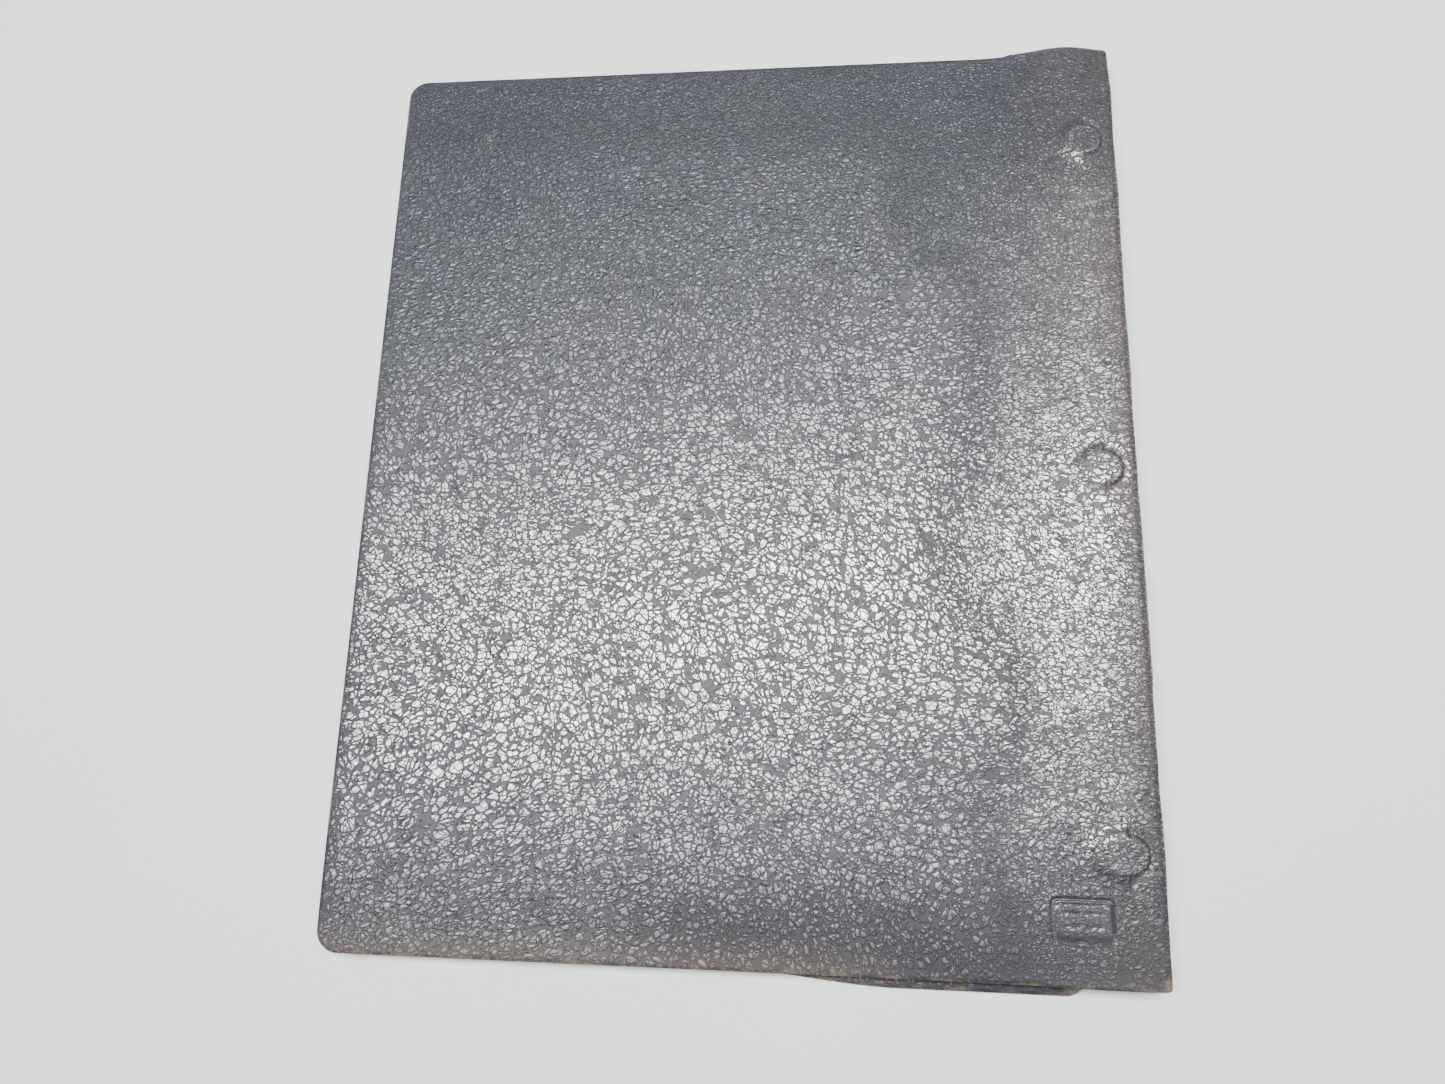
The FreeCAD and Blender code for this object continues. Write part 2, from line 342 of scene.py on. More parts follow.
def makeLeather():
    look = leatherLook
    material, tree, shader = nodeTree("pebbledBlackLeather")
    coords = grainCoords(tree)
    names = ("rubWearAndHighlight", "edgeWear", "tan", "fineGrain", "calm", "stampAndShadowArc", "dull")
    rubWearAndHighlight, edge, tan, fine, calm, stampAndShadowArc, dull = [readMark(tree, name) for name in names]
    rubAndHighlightMask = place(tree, scuffs, {"Coords": coords, "Mark": rubWearAndHighlight, "Raggedness": 1.3}).outputs["Mask"]
    smoothing = calc(tree, "MAXIMUM", calm, stampAndShadowArc)
    big = place(tree, pebbleGrain, {"Coords": coords, "Per Unit": look["coarse"], "Smoothing": smoothing})
    small = place(tree, pebbleGrain, {"Coords": coords, "Per Unit": look["fine"], "Smoothing": smoothing})
    height = blendValue(tree, fine, big.outputs["Height"], small.outputs["Height"])
    plain = ramp(tree, blendValue(tree, fine, big.outputs["Top"], small.outputs["Top"]), 0.5, 0.98)
    # the stamp's lines and panel and the painted shadow arcs beside the post bumps darken the pebble tops
    top = calc(tree, "MULTIPLY", plain, calc(tree, "MULTIPLY_ADD", stampAndShadowArc, -0.9, c=1.0))
    wear = place(tree, scuffs, {"Coords": coords, "Mark": edge, "Raggedness": 0.9})
    # the pebble tops are darkened where dull is set, most at the tail: painted shade
    shadeDarkenedTops = calc(tree, "MULTIPLY", top, calc(tree, "MULTIPLY_ADD", dull, -0.6, c=1.0))
    # pebble tops take the lump colour and the creases the darker crease colour: painted shade in the creases
    base = mixColor(tree, shadeDarkenedTops, look["crease"], look["lump"])
    shade = mixColor(tree, 0.35, base, big.outputs["Shade"], "SOFT_LIGHT")
    blotch = ramp(tree, wear.outputs["Blotch"], 0.5, 0.8, 0.0, 0.12)
    soaked = calc(tree, "MULTIPLY_ADD", top, 0.65, c=0.35)
    tanned = calc(tree, "MULTIPLY", calc(tree, "ADD", tan, blotch), soaked, True)
    tinted = mixColor(tree, tanned, shade, look["umber"])
    # rubbed patches and the scratch are real wear; on the post bumps the same lighter colour is a painted
    # highlight ring
    rubAndHighlightAmount = calc(tree, "MULTIPLY", rubAndHighlightMask, calc(tree, "MULTIPLY_ADD", top, 0.42, c=0.08))
    rubbedAndHighlight = mixColor(tree, rubAndHighlightAmount, tinted, look["rubbedAndHighlight"])
    worn = mixColor(tree, calc(tree, "MULTIPLY", wear.outputs["Mask"], 0.8), rubbedAndHighlight, look["brown"])
    tree.links.new(worn, shader.inputs["Base Color"])
    rough = ramp(tree, top, 0.1, 0.95, look["creaseRough"], look["lumpRough"])
    matted = calc(tree, "MAXIMUM", wear.outputs["Mask"], dull)
    tree.links.new(calc(tree, "MULTIPLY_ADD", matted, look["wornRough"], c=rough), shader.inputs["Roughness"])
    grain = {"Strength": 1.0, "Distance": look["grainDepth"], "Height": height}
    bump = add(tree, "ShaderNodeBump", None, grain)
    tree.links.new(bump.outputs["Normal"], shader.inputs["Normal"])
    gloss = calc(tree, "MULTIPLY_ADD", dull, -0.95, c=look["coat"])
    tree.links.new(calc(tree, "MULTIPLY", top, gloss), shader.inputs["Coat Weight"])
    shader.inputs["Coat Roughness"].default_value = look["coatRough"]
    shader.inputs["Coat IOR"].default_value = look["coatIor"]
    shader.inputs["Specular IOR Level"].default_value = look["specular"]
    return material


def makeFlesh():
    material, tree, shader = nodeTree("suedeFleshSide")
    coords = grainCoords(tree)
    fuzz = noise(tree, coords, 22.0, 6.0, 0.7).outputs["Fac"]
    suede = mixColor(tree, fuzz, (0.05, 0.032, 0.022, 1), (0.14, 0.095, 0.062, 1))
    tree.links.new(suede, shader.inputs["Base Color"])
    shader.inputs["Roughness"].default_value = 0.95
    bump = add(tree, "ShaderNodeBump", None, {"Strength": 0.7, "Distance": 0.12 * mm, "Height": fuzz})
    tree.links.new(bump.outputs["Normal"], shader.inputs["Normal"])
    return material


def makeLiningCloth():
    material, tree, shader = nodeTree("liningCloth")
    coords = objectCoords(tree)
    cloth = place(tree, weave, {"Coords": coords, "Threads": 5200.0})
    tone = mixColor(tree, cloth.outputs["Height"], (0.008, 0.008, 0.010, 1), (0.034, 0.034, 0.039, 1))
    slub = calc(tree, "MULTIPLY", cloth.outputs["Slub"], 0.4)
    tree.links.new(mixColor(tree, slub, tone, (0.055, 0.052, 0.050, 1)), shader.inputs["Base Color"])
    shader.inputs["Roughness"].default_value = 0.85
    threads = {"Strength": 0.8, "Distance": 0.1 * mm, "Height": cloth.outputs["Height"]}
    bump = add(tree, "ShaderNodeBump", None, threads)
    tree.links.new(bump.outputs["Normal"], shader.inputs["Normal"])
    return material


def makeBoard():
    material, tree, shader = nodeTree("greyBoard")
    coords = objectCoords(tree)
    layered = add(tree, "ShaderNodeMapping", None, {"Vector": coords, "Scale": (900, 900, 4000)}).outputs[0]
    fibres = noise(tree, layered, 1.0, 5.0).outputs["Fac"]
    pulp = mixColor(tree, fibres, (0.24, 0.19, 0.14, 1), (0.42, 0.36, 0.28, 1))
    tree.links.new(pulp, shader.inputs["Base Color"])
    shader.inputs["Roughness"].default_value = 0.9
    bump = add(tree, "ShaderNodeBump", None, {"Strength": 0.5, "Distance": 0.1 * mm, "Height": fibres})
    tree.links.new(bump.outputs["Normal"], shader.inputs["Normal"])
    return material


def makeFibre():
    material, tree, shader = nodeTree("vulcanisedFibre")
    coords = objectCoords(tree)
    mottle = noise(tree, coords, 260.0, 4.0).outputs["Fac"]
    fine = noise(tree, coords, 2600.0, 3.0).outputs["Fac"]
    tone = mixColor(tree, mottle, (0.022, 0.019, 0.017, 1), (0.062, 0.052, 0.044, 1))
    tree.links.new(tone, shader.inputs["Base Color"])
    tree.links.new(ramp(tree, mottle, 0.3, 0.7, 0.42, 0.6), shader.inputs["Roughness"])
    bump = add(tree, "ShaderNodeBump", None, {"Strength": 0.35, "Distance": 0.05 * mm, "Height": fine})
    tree.links.new(bump.outputs["Normal"], shader.inputs["Normal"])
    return material


def makeMetal(name, bright, dull, lowRough, highRough):
    material, tree, shader = nodeTree(name)
    coords = objectCoords(tree)
    haze = noise(tree, coords, 420.0, 4.0).outputs["Fac"]
    stretched = add(tree, "ShaderNodeMapping", None, {"Vector": coords, "Scale": (9000, 700, 900)}).outputs[0]
    brush = noise(tree, stretched, 1.0, 3.0).outputs["Fac"]
    tree.links.new(mixColor(tree, ramp(tree, haze, 0.45, 0.75), bright, dull), shader.inputs["Base Color"])
    tree.links.new(ramp(tree, haze, 0.3, 0.75, lowRough, highRough), shader.inputs["Roughness"])
    shader.inputs["Metallic"].default_value = 1.0
    bump = add(tree, "ShaderNodeBump", None, {"Strength": 0.25, "Distance": 0.02 * mm, "Height": brush})
    tree.links.new(bump.outputs["Normal"], shader.inputs["Normal"])
    return material


pageLook = {"ruling": 7.0 * mm, "lineWidth": 0.28 * mm, "head": 26 * mm, "foot": 12 * mm,
            "paper": (0.56, 0.52, 0.42, 1), "paperDark": (0.40, 0.34, 0.23, 1), "ink": (0.05, 0.12, 0.11, 1),
            "columns": (22, 46, 70, 92, 112, 126, 140, 154, 168, 182, 196)}


def makePaper(ruled):
    look = pageLook
    material, tree, shader = nodeTree("ruledLogPaper" if ruled else "buffCard")
    coords = grainCoords(tree)
    split = add(tree, "ShaderNodeSeparateXYZ", None, {0: coords})
    fibre = noise(tree, coords, 60.0, 5.0, 0.65).outputs["Fac"]
    cloud = noise(tree, coords, 0.5, 3.0).outputs["Fac"]
    light, dark = look["paper"], look["paperDark"]
    if not ruled:
        light, dark = (0.36, 0.27, 0.14, 1), (0.25, 0.18, 0.09, 1)
    rimAge = ramp(tree, readMark(tree, "edgeWear"), 0.0, 1.0)
    aged = calc(tree, "MAXIMUM", rimAge, ramp(tree, cloud, 0.5, 0.8, 0.0, 0.4))
    paper = mixColor(tree, calc(tree, "MULTIPLY", aged, 0.7), light, dark)
    paper = mixColor(tree, calc(tree, "MULTIPLY", fibre, 0.12), paper, dark)
    if ruled:
        # printed ledger lines: even rows between head and foot, and a few uprights
        down = split.outputs[1]
        row = calc(tree, "PINGPONG", down, look["ruling"] * 50)
        inBody = calc(tree, "MULTIPLY", calc(tree, "GREATER_THAN", down, look["foot"] * 100),
                      calc(tree, "LESS_THAN", down, (2 * halfHeight - look["head"]) * 100))
        lines = calc(tree, "MULTIPLY", calc(tree, "LESS_THAN", row, look["lineWidth"] * 50), inBody)
        for column in look["columns"]:
            near = calc(tree, "ABSOLUTE", calc(tree, "SUBTRACT", split.outputs[0], column / 10))
            upright = calc(tree, "MULTIPLY", calc(tree, "LESS_THAN", near, look["lineWidth"] * 60), inBody)
            lines = calc(tree, "MAXIMUM", lines, upright)
        paper = mixColor(tree, calc(tree, "MULTIPLY", lines, 0.85), paper, look["ink"])
    tree.links.new(paper, shader.inputs["Base Color"])
    shader.inputs["Roughness"].default_value = 0.8
    bump = add(tree, "ShaderNodeBump", None, {"Strength": 0.3, "Distance": 0.03 * mm, "Height": fibre})
    tree.links.new(bump.outputs["Normal"], shader.inputs["Normal"])
    return material


def makeFloor():
    material, tree, shader = nodeTree("paleFloor")
    coords = objectCoords(tree)
    cloud = noise(tree, coords, 6.0, 3.0).outputs["Fac"]
    tone = mixColor(tree, cloud, (0.34, 0.343, 0.347, 1), (0.365, 0.368, 0.372, 1))
    tree.links.new(tone, shader.inputs["Base Color"])
    shader.inputs["Roughness"].default_value = 0.75
    return material


leather = makeLeather()
flesh = makeFlesh()
liningCloth = makeLiningCloth()
greyBoard = makeBoard()
fibre = makeFibre()
nickel = makeMetal("wornNickel", (0.74, 0.72, 0.67, 1), (0.40, 0.37, 0.32, 1), 0.22, 0.45)
brass = makeMetal("satinBrass", (0.76, 0.56, 0.26, 1), (0.40, 0.28, 0.13, 1), 0.28, 0.5)
logPaper = makePaper(True)
buffCard = makePaper(False)
print("materials made")


# the leather jacket: one skin from the back fore-edge, over the binding and spine, to the front fore-edge

jacket = {
    "leather": 1.0 * mm, "cornerRadius": 6.5 * mm, "turnIn": 12 * mm, "bead": 1.6 * mm, "beadWidth": 2.0 * mm,
    "crownRise": 0.7 * mm, "shoulder": 3.0 * mm, "fit": 0.1 * mm, "foldRadius": 1.5 * mm,
    "backSeam": 14.6 * mm, "spineSeam": 4.2 * mm,
    "panelStep": 2.0 * mm, "marginStep": 0.45 * mm, "rowStep": 2.2 * mm,
}
tent = {"from": 18 * mm, "to": 72 * mm}
bumps = {"radius": 4.7 * mm, "rise": 0.9 * mm, "crispEdge": 0.9 * mm, "softEdge": 3.4 * mm}
stamp = {"s": (15.2 * mm, 30.6 * mm), "y": (-130.3 * mm, -119.7 * mm), "depth": 0.42 * mm, "line": 0.40 * mm,
         "corner": 1.3 * mm}


# dense points (s, z) round the book, outside of the leather, from the back fore-edge to the front one
def jacketPath():
    j = jacket
    strip0, strip1 = toS(stripHigh.x), toS(stripLow.x)
    half = (strip1 - strip0) / 2
    crownTop = stripHigh.z + j["fit"] + j["leather"]
    radius = (half ** 2 + j["crownRise"] ** 2) / (2 * j["crownRise"])
    middle = np.array([strip0 + half, crownTop - radius])
    run = middle[0] - j["shoulder"]
    rise = math.sqrt((radius - j["shoulder"]) ** 2 - run ** 2)
    shoulderZ = middle[1] + rise
    lean = math.atan2(rise, run)
    start = tent["from"]
    browZ = middle[1] + math.sqrt(radius ** 2 - (start - middle[0]) ** 2)
    steep = -(start - middle[0]) / (browZ - middle[1])
    t = np.linspace(1, 0, 200)
    span = tent["to"] - start
    tentZ = (2 * t ** 3 - 3 * t ** 2 + 1) * browZ + (3 * t ** 2 - 2 * t ** 3) * backHigh.z
    tentZ = tentZ + (t ** 3 - 2 * t ** 2 + t) * span * steep
    slope = np.stack([start + span * t, tentZ], 1)
    brow = np.array([start, browZ])
    crownAngles = np.linspace(math.atan2(brow[1] - middle[1], brow[0] - middle[0]), math.pi - lean, 400)
    crown = middle + radius * np.stack([np.cos(crownAngles), np.sin(crownAngles)], 1)
    shoulderAngles = np.linspace(math.pi - lean, math.pi, 90)
    shoulderArc = np.stack([np.cos(shoulderAngles), np.sin(shoulderAngles)], 1)
    shoulder = np.array([j["shoulder"], shoulderZ]) + j["shoulder"] * shoulderArc
    foldAngles = np.linspace(math.pi, 1.5 * math.pi, 60)
    fold = j["foldRadius"] * (1 + np.stack([np.cos(foldAngles), np.sin(foldAngles)], 1))
    back = np.array([[coverWidth, backHigh.z]])
    front = np.array([[coverWidth, 0.0]])
    return np.vstack([back, slope, crown[1:], shoulder[1:], fold, front])


# distances in from a turned edge, close where it rounds over and where the turn-in ends
def insets(reach):
    round_ = [1.2 * mm * (1 - math.cos(k * math.pi / 10)) for k in range(5)]
    values = round_ + [d * mm for d in (1.2, 1.6, 2.0, 2.15, 2.55, 2.7, 3.4, 4.4, 5.5, 6.5, 8.0, 10.0)]
    values += [jacket["turnIn"] - 0.05 * mm, jacket["turnIn"] + 0.1 * mm]
    last = values[-1]
    count = max(1, round((reach - last) / jacket["panelStep"]))
    return values + [last + (reach - last) * k / count for k in range(1, count + 1)]


# places along the book: fine at the ends, round the posts and across the stamp
def rowPlaces():
    edge = insets(14 * mm)
    low = [-halfHeight + d for d in edge]
    places = set(low + [-y for y in low])
    y = low[-1]
    dense = [(postMid.y + k * (postTop.y - postMid.y), 7.5 * mm, 0.6 * mm) for k in (-1, 0, 1)]
    dense.append((sum(stamp["y"]) / 2, 6.6 * mm, 0.3 * mm))
    while y < -low[-1]:
        step = min([jacket["rowStep"]] + [fine for middle, half, fine in dense if abs(y - middle) < half])
        y += step
        if y < -low[-1] - 0.4 * step:
            places.add(y)
    return np.array(sorted(places))


# a plain blind-stamped frame with four short bars inside
def stampDepth(s, y):
    cx, cy = sum(stamp["s"]) / 2, sum(stamp["y"]) / 2
    hx, hy = (stamp["s"][1] - stamp["s"][0]) / 2, (stamp["y"][1] - stamp["y"][0]) / 2
    dx, dy = np.abs(s - cx), np.abs(y - cy)

    def frameAt(inset, width):
        qx, qy = dx - (hx - inset - stamp["corner"]), dy - (hy - inset - stamp["corner"])
        outside = np.hypot(np.maximum(qx, 0), np.maximum(qy, 0))
        far = outside + np.minimum(np.maximum(qx, qy), 0) - stamp["corner"]
        return np.exp(-(far / width) ** 2)

    outer = frameAt(0, stamp["line"])
    inner = frameAt(1.1 * mm, 0.6 * stamp["line"]) * smooth(hy - 2.6 * mm, hy - 1.6 * mm, dy) * 0.6
    bars = 0
    for bx, by in ((-0.36, 0.33), (0.36, 0.33), (-0.36, -0.3), (0.36, -0.3)):
        far = np.maximum(np.abs(s - cx - bx * hx) - 1.6 * mm, 0) ** 2 + (y - cy - by * hy) ** 2
        bars = bars + np.exp(-far / (0.5 * mm) ** 2) * 0.55
    return stamp["depth"] * np.clip(outer + inner + bars, 0, 1.1)


# rise of the back leather over its path: post bumps, sag, ripples and the stamp
def backRelief(s, y):
    rise = 0
    for k in (-1, 0, 1):
        middle = postMid.y + k * (postTop.y - postMid.y)
        ds, dy = s - toS(postMid.x), y - middle
        stretch = np.where(ds > 0, 1 / (1.0 + (0.55 if k < 0 else 0.15)), 1.0)
        soft = np.where(ds > 0, bumps["softEdge"], bumps["crispEdge"])
        far = np.hypot(ds * stretch, dy)
        rise = rise + bumps["rise"] * (1 - smooth(bumps["radius"], bumps["radius"] + soft, far))
        rise = rise - 0.12 * mm * hill(far, bumps["radius"] + 1.3 * mm, 0.9 * mm) * (ds < 0)
    rise = rise - stampDepth(s, y)
    dent = smooth(-120 * mm, -105 * mm, y) * (1 - smooth(-70 * mm, -55 * mm, y))
    rise = rise - 0.14 * mm * hill(s, 22.3 * mm, 0.7 * mm) * dent
    panel = smooth(30 * mm, 60 * mm, s)
    rise = rise + panel * 0.22 * mm * waves(s, y, 95 * mm, 3)
    rise = rise + 0.10 * mm * waves(s, y, 17 * mm, 5) * (1 - 0.4 * panel)
    return rise


# broad shape of the back cover: a drooping tail, a dip beside the head end of the margin, a domed head end
def backShape(s, y):
    shape = -0.6 * mm * np.clip((-y - 108 * mm) / (34 * mm), 0, 1) ** 2
    shape = shape - 0.55 * mm * hill(s, 40 * mm, 11 * mm) * smooth(118 * mm, 138 * mm, y)
    shape = shape + 1.1 * mm * hill(s, 17 * mm, 8 * mm) * smooth(122 * mm, 142 * mm, y)
    return shape - 0.55 * mm * hill(s, 2 * mm, 5 * mm) * smooth(125 * mm, 142 * mm, y)


def frontRelief(s, y):
    return -0.12 * mm * (1 + waves(s, y, 80 * mm, 11)) * smooth(4 * mm, 20 * mm, s)


# how far the front cover's tail edge stands out, up to its torn end near the binding
def tailReach(s):
    torn = smooth(19.5 * mm, 24.5 * mm, s + 0.5 * mm * np.sin(s * 2600))
    return 3.3 * mm * torn * (1 - smooth(70 * mm, 120 * mm, s))


def makeJacket():
    j = jacket
    path = jacketPath()
    lengths = np.concatenate([[0], np.cumsum(np.hypot(*np.diff(path, axis=0).T))])
    total = lengths[-1]
    tangent = np.gradient(path, lengths, axis=0)
    # columns: turned edge, panel, margin, spine, front panel, turned edge
    crease = toS(joints["back_crease"]["pos_m"][0])
    marginFrom = coverWidth - (crease + 10 * mm)
    marginTo = total - (coverWidth - j["foldRadius"]) + 6 * mm
    backSide = insets(marginFrom)
    frontSide = [total - d for d in insets(total - marginTo)]
    seam = np.interp(-j["backSeam"], -path[:500, 0], lengths[:500])
    spineRun = (path[:, 0] < 0.02 * mm) & (path[:, 1] > 1.0 * mm)
    spineSeam = np.interp(-j["spineSeam"], -path[spineRun, 1], lengths[spineRun])
    count = round((marginTo - marginFrom) / j["marginStep"])
    margin = list(np.linspace(marginFrom, marginTo, count + 1)[1:-1])
    margin = [c for c in margin if abs(c - seam) > 0.2 * mm and abs(c - spineSeam) > 0.2 * mm]
    columns = np.array(sorted(backSide + margin + [seam, spineSeam] + frontSide))
    rows = rowPlaces()
    s0, z0 = np.interp(columns, lengths, path[:, 0]), np.interp(columns, lengths, path[:, 1])
    ts, tz = np.interp(columns, lengths, tangent[:, 0]), np.interp(columns, lengths, tangent[:, 1])
    size = np.hypot(ts, tz)
    ns, nz = (tz / size)[:, None], (-ts / size)[:, None]

    # corner mapping: concentric rounded loops at the two fore-edges
    a = np.minimum(columns, total - columns)[:, None] + 0 * rows[None, :]
    b = (halfHeight - np.abs(rows))[None, :] + 0 * a
    r = j["cornerRadius"]
    d, m = np.minimum(a, b), np.maximum(a, b)
    corner = m < r
    rho = np.where(corner, r - d, 1)
    angle = np.where(corner, (r - m) / rho, 0) * math.pi / 4
    longSide, shortSide = r - rho * np.cos(angle), r - rho * np.sin(angle)
    a2 = np.where(corner, np.where(a <= b, longSide, shortSide), a)
    b2 = np.where(corner, np.where(a <= b, shortSide, longSide), b)
    s = s0[:, None] - (a2 - a)
    y = np.sign(rows)[None, :] * (halfHeight - b2)
    isFront = (columns > total / 2)[:, None]
    y = y - np.where(isFront & (y < 0), tailReach(s) * (np.abs(y) / halfHeight) ** 12, 0)

    # thickness: skin alone, skin and bead at the ends of the margin, or the whole turned edge round the board
    boardStart = toS(boardHigh.x)
    boarded = smooth(boardStart - 2.5 * mm, boardStart, s0)[:, None]
    frontBoard = toS(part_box("front_board")[1].x)
    frontBoarded = smooth(frontBoard - 1.5 * mm, frontBoard, s0)[:, None] * (z0[:, None] < 0.5 * mm)
    boarded = np.where(isFront, frontBoarded, boarded)
    lift = np.where(isFront, 0, np.clip(z0[:, None] - backHigh.z, 0, None))
    flapThick = liningHigh.z - backLow.z
    edgeThick = j["bead"] + (frontHigh.z + lift - j["bead"]) * boarded + 0 * y
    turned = np.where(boarded > 0.5, d < 2.6 * mm, d < j["beadWidth"] + 0.05 * mm)
    half = edgeThick / 2
    over = np.clip(half - d, 0, None)
    drop = half - np.sqrt(np.clip(half ** 2 - over ** 2, 0, None))
    relief = np.where(isFront, frontRelief(s, y), backRelief(s, y) * (z0[:, None] > 6 * mm))
    relief = relief * np.clip(smooth(-0.3 * mm, 2.5 * mm, d) + 0.25, 0, 1)
    relief = relief + np.where(isFront, 0, backShape(s, y) * (z0[:, None] > 6 * mm))
    spineSag = 0.25 * mm * waves(columns[:, None] + 0 * y, y, 40 * mm, 21) * (s0[:, None] < 0.5 * mm)
    relief = relief + spineSag - np.abs(spineSag)

    def placed(depth):
        return np.stack([toX(s + ns * depth), y, z0[:, None] + nz * depth], -1)

    outer = placed(relief - drop)
    inner = placed(np.where(turned, drop - edgeThick, np.maximum(relief, 0) - j["leather"]))

    # grain map in centimetres: longer lumps near the spine and ends, and a slow drift of direction
    squeeze = 0.86 - 0.28 * np.exp(-(s0 / (45 * mm)) ** 2)
    u = np.cumsum(np.concatenate([[0], np.diff(columns) * (squeeze[1:] + squeeze[:-1]) / 2]))[:, None] + 0 * y
    v = rows[None, :] + 0 * y
    u, v = (u + 5 * mm * np.sin(v * 33 + 0.8) + 3 * mm * np.sin((u + v) * 47),
            v + 5 * mm * np.sin(u * 29 + 2.2) + 3 * mm * np.sin((u - 2 * v) * 31))
    uv = np.stack([u, v], -1) * 100

    # wear marks and painted light: worn brown edges, tan, rubbed patches and a scratch, the blind stamp, a
    # painted highlight ring and a painted shadow arc at each post bump, and dull, which also darkens the tail
    # as painted shade
    patchy = 0.6 + 0.6 * waves(columns[:, None] * 3 + y, y, 45 * mm, 8)
    edgeWear = 0.62 * hill(d, 0.3 * mm, 0.9 * mm) * patchy
    onSpine = (s0[:, None] < 4 * mm) & ~isFront
    edgeWear = np.maximum(edgeWear, 0.25 * onSpine * (0.7 + 0.5 * waves(s, y, 30 * mm, 9)))
    tailCorner = np.hypot(s0[:, None] - 1 * mm, (y + halfHeight) * 0.6)
    tornEnd = isFront * hill(np.hypot(s - 22 * mm, y + halfHeight + 1.5 * mm), 0, 4.5 * mm)
    edgeWear = np.maximum(edgeWear, np.maximum(0.75 * hill(tailCorner, 0, 2.6 * mm), 0.9 * tornEnd))
    towardsEnds = 1 - 0.65 * smooth(60 * mm, 115 * mm, np.abs(y))
    tan = 0.6 * hill(s, 0, 26 * mm) * ~isFront * towardsEnds + 0.08 * (1 - smooth(-140 * mm, -105 * mm, y))
    tan = tan + 0.55 * hill(y + halfHeight, 0, 7 * mm) * smooth(60 * mm, 90 * mm, s)
    rubWearAndHighlight = 0
    patches = ((12, 88, 4), (13, 17, 5), (6, 15, 3.5), (12, -13, 6),
               (9, -88, 5), (11, -96, 4), (7, -118, 3), (205, 118, 3))
    for ps, py, pr in patches:
        rubWearAndHighlight = rubWearAndHighlight + 0.6 * hill(np.hypot(s / mm - ps, (y / mm - py) * 0.8), 0, pr)
    inStamp, soft = 1, 0.3 * mm
    for value, (low, high) in ((s, stamp["s"]), (y, stamp["y"])):
        inStamp = inStamp * smooth(low - soft, low + soft, value)
        inStamp = inStamp * (1 - smooth(high - soft, high + soft, value))
    stampAndShadowArc = np.maximum(np.clip(stampDepth(s, y) / stamp["depth"], 0, 1), 0.55 * inStamp)
    # a dark ring on the spine side of each post bump: painted shadow arc
    outerHalf = s < toS(postMid.x) + 1.5 * mm
    for k in (-1, 0, 1):
        far = np.hypot(s - toS(postMid.x), y - postMid.y - k * (postTop.y - postMid.y))
        ring = 0.85 * hill(far, bumps["radius"] + 0.9 * mm, 0.5 * mm)
        stampAndShadowArc = np.maximum(stampAndShadowArc, ring * outerHalf)
        # a lighter ring and top on each post bump: painted highlight
        rubWearAndHighlight = rubWearAndHighlight + 0.35 * hill(far, bumps["radius"], 0.9 * mm) + 0.2 * (far < bumps["radius"])
    scratch = hill(y, -112.3 * mm - 0.06 * s, 0.45 * mm) * smooth(1 * mm, 2.5 * mm, s)
    scratch = scratch * (1 - smooth(7 * mm, 9 * mm, s))
    rubWearAndHighlight = np.clip((rubWearAndHighlight + 1.3 * scratch) * (z0[:, None] > 6 * mm), 0, 1)
    stampAndShadowArc = stampAndShadowArc * (z0[:, None] > 6 * mm)
    tailByBinding = (1 - smooth(-140 * mm, -118 * mm, y)) * (1 - smooth(20 * mm, 55 * mm, s))
    calm = 0.45 * hill(d, 0, 3 * mm) + 0.45 * tailByBinding
    toPanel = smooth(25 * mm, 75 * mm, s + 14 * mm * waves(s, y, 70 * mm, 31))
    fine = np.clip(1 - toPanel + smooth(95 * mm, 135 * mm, y) * 0.8, 0, 1)
    # dull makes the leather less glossy and rougher towards the tail, along the turned edges and at the head
    # end of the margin, and darkens its pebble tops there: painted shade
    dull = (1 - smooth(-141 * mm, -104 * mm, y)) * (1 - smooth(110 * mm, 190 * mm, s))
    dull = np.maximum(dull, 0.9 * hill(d, 0, 3 * mm))
    dull = np.maximum(dull, 0.75 * smooth(80 * mm, 118 * mm, y) * (1 - smooth(24 * mm, 60 * mm, s)))
    marks = {"edgeWear": np.clip(edgeWear, 0, 1), "tan": np.clip(tan, 0, 1), "rubWearAndHighlight": rubWearAndHighlight,
             "fineGrain": fine, "dull": np.clip(dull, 0, 1), "calm": np.clip(calm + 0 * s, 0, 1),
             "stampAndShadowArc": stampAndShadowArc}

    # cut the one skin into three pieces at the two seams
    seamAt = int(np.argmin(np.abs(columns - seam)))
    spineAt = int(np.argmin(np.abs(columns - spineSeam)))
    grid = {"outer": outer, "inner": inner, "uv": uv, "marks": marks, "d": d, "turned": turned,
            "flapTop": placed(flapThick - edgeThick), "flapUnder": placed(-edgeThick),
            "boarded": boarded + 0 * y[:, :-1]}
    return (leatherPiece("backCoverLeather", grid, 0, seamAt + 1),
            leatherPiece("bindingLeather", grid, seamAt, spineAt + 1),
            leatherPiece("frontCoverLeather", grid, spineAt, len(columns)))


